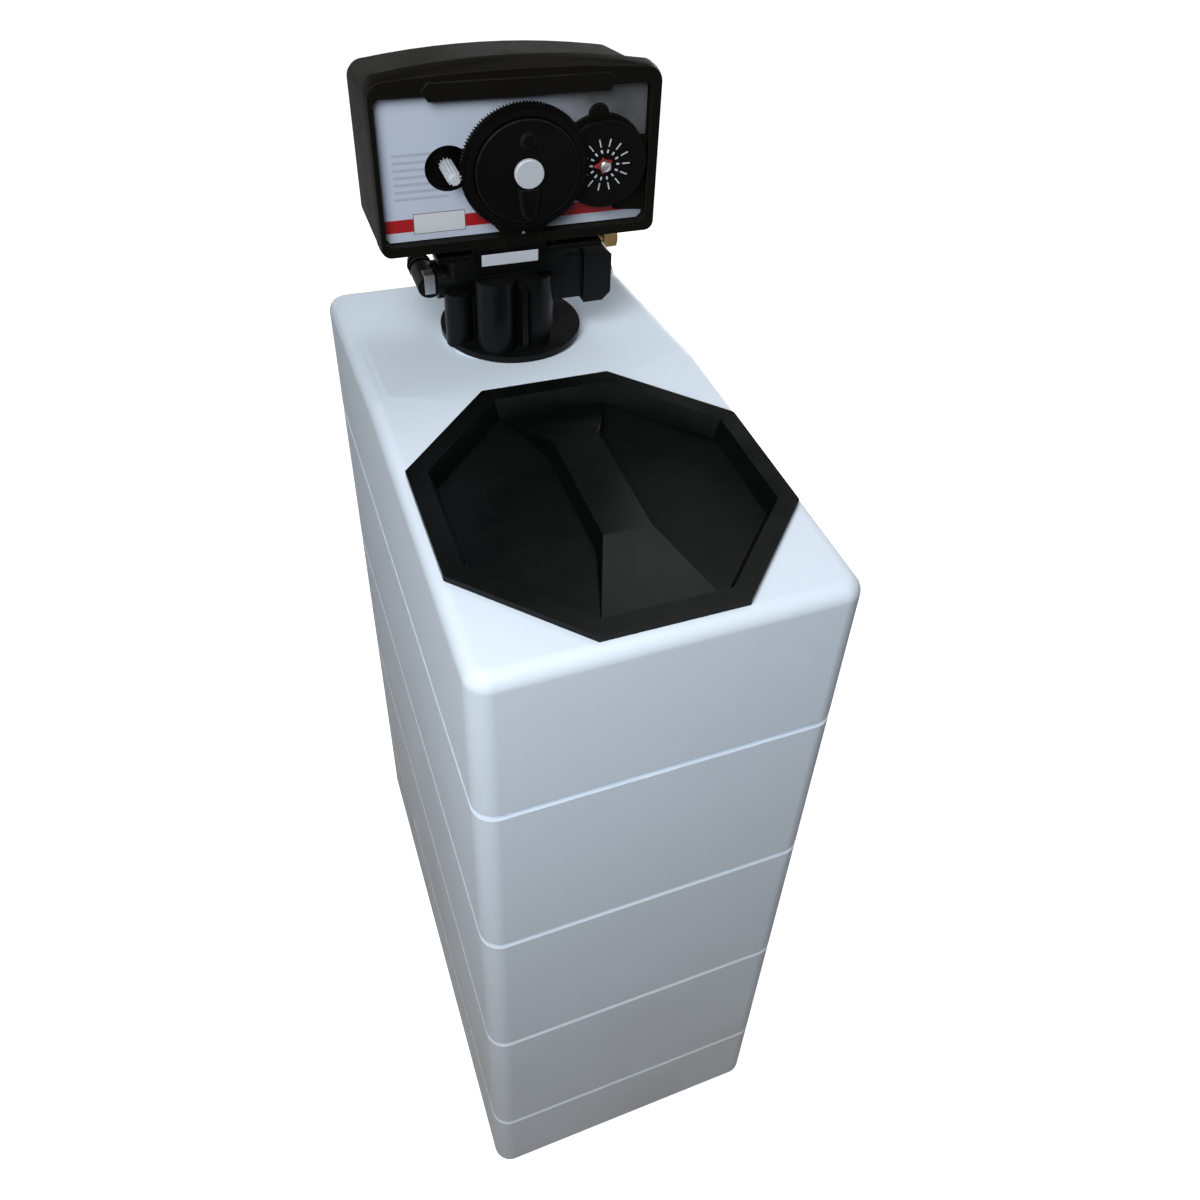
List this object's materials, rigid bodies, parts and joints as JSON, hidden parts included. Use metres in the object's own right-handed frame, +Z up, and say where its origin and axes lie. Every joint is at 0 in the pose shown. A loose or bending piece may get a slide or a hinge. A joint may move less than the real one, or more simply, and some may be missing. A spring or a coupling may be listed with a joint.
{
  "type": "water softener",
  "caption": "Upright cabinet water softener: grooved white cabinet with an eight-sided lift-off salt lid and a timer-driven control valve on the tank behind it.",
  "frame": {"origin": "middle of the cabinet's base, on the floor", "axes": "+Z up, +X to the right seen from the front, the front with the lid and the dials faces -Y"},
  "size_m": [0.23, 0.45, 0.816],
  "materials": {
    "cabinet_white": "fine-grained moulded",
    "lid_black": "satin moulded",
    "valve_black": "satin glass-filled",
    "head_black": "satin",
    "timer_black": "satin",
    "label_grey": "printed",
    "white_plastic": "plain",
    "pointer_red": "plain",
    "steel": "bright",
    "brass": "plain",
    "rubber": "plain",
    "tank_wrap": "wound glass fibre",
    "resin": "beads",
    "pipe_grey": "plain",
    "blue_plastic": "plain",
    "nylon": "plain",
    "motor_case": "plated"
  },
  "bodies": {
    "base": {"cabinet_shell": "cabinet_white", "overflow_elbow": "valve_black", "overflow_nut": "valve_black", "brine_well": "white_plastic", "well_cap": "white_plastic", "pickup_pipe": "pipe_grey", "air_check": "blue_plastic", "safety_valve": "blue_plastic", "resin_tank": "tank_wrap", "tank_foot": "rubber", "resin_bed": "resin", "riser_tube": "pipe_grey", "lower_strainer": "valve_black", "upper_strainer": "valve_black", "valve_body": "valve_black", "neck_seal": "rubber", "piston_seals": "blue_plastic", "seal_spacers": "white_plastic", "end_plug": "white_plastic", "injector_body": "valve_black", "injector_cap": "valve_black", "injector_screws": "steel", "injector_nozzle": "white_plastic", "injector_throat": "pointer_red", "brine_spring": "steel", "brine_elbow": "brass", "brine_nut": "brass", "drain_elbow": "valve_black", "drain_clip": "steel", "connection_yoke": "valve_black", "yoke_clips": "steel", "yoke_screws": "steel", "port_seals": "rubber", "chassis": "timer_black", "chassis_screws": "steel", "hood": "head_black", "hood_screws": "steel", "hinge_pins": "steel", "drive_motor": "motor_case", "blank_plate": "white_plastic"},
    "lid": {"salt_lid": "lid_black"},
    "front": {"front_bezel": "head_black", "label_plate": "label_grey", "timer_motor": "motor_case", "skip_pointer": "pointer_red", "pointer_screw": "steel"},
    "hour": {"hour_gear": "timer_black"},
    "pinion": {"motor_pinion": "white_plastic"},
    "knob": {"regen_knob": "timer_black", "knob_cap": "white_plastic", "drive_dog": "nylon"},
    "skip": {"skip_wheel": "timer_black"},
    "main": {"main_gear": "nylon"},
    "drive": {"drive_pinion": "steel"},
    "piston": {"piston": "nylon", "piston_rod": "steel", "rod_yoke": "nylon"},
    "stem": {"brine_stem": "steel"},
    "float": {"float_rod": "steel", "brine_float": "white_plastic"}
  },
  "joints": [
    {"name": "lid_lift", "type": "slide", "parent": "base", "child": "lid", "axis": [0, 0, 1], "range_m": [0, 0.06]},
    {"name": "front_swing", "type": "hinge", "parent": "base", "child": "front", "pos_m": [0.086, 0.089, 0.75], "axis": [0, 0, 1], "range_deg": [0, 95]},
    {"name": "hour_spin", "type": "hinge", "parent": "front", "child": "hour", "pos_m": [0, 0.065, 0.754], "axis": [0, 1, 0], "continuous": true},
    {"name": "pinion_spin", "type": "hinge", "parent": "front", "child": "pinion", "pos_m": [-0.04464, 0.07, 0.75166], "axis": [0, 1, 0], "continuous": true},
    {"name": "knob_turn", "type": "hinge", "parent": "front", "child": "knob", "pos_m": [0, 0.06, 0.754], "axis": [0, 1, 0], "continuous": true},
    {"name": "skip_turn", "type": "hinge", "parent": "front", "child": "skip", "pos_m": [0.053, 0.07, 0.75], "axis": [0, 1, 0], "continuous": true},
    {"name": "main_spin", "type": "hinge", "parent": "base", "child": "main", "pos_m": [0, 0.097, 0.754], "axis": [0, 1, 0], "continuous": true},
    {"name": "drive_spin", "type": "hinge", "parent": "base", "child": "drive", "pos_m": [0.03517, 0.097, 0.74189], "axis": [0, 1, 0], "continuous": true},
    {"name": "piston_slide", "type": "slide", "parent": "base", "child": "piston", "axis": [0, 0, 1], "range_m": [0, 0.022]},
    {"name": "stem_press", "type": "slide", "parent": "base", "child": "stem", "axis": [0, 0, 1], "range_m": [-0.005, 0], "stiffness_N_per_m": 400, "springref_m": 0.004, "deforming": ["brine_spring"]},
    {"name": "float_rise", "type": "slide", "parent": "base", "child": "float", "axis": [0, 0, 1], "range_m": [0, 0.06]}
  ],
  "couplings": [
    {"joint": "pinion_spin", "follows": "hour_spin", "ratio": -10},
    {"joint": "drive_spin", "follows": "main_spin", "ratio": -4.2857},
    {"joint": "knob_turn", "follows": "main_spin", "ratio": 1}
  ]
}
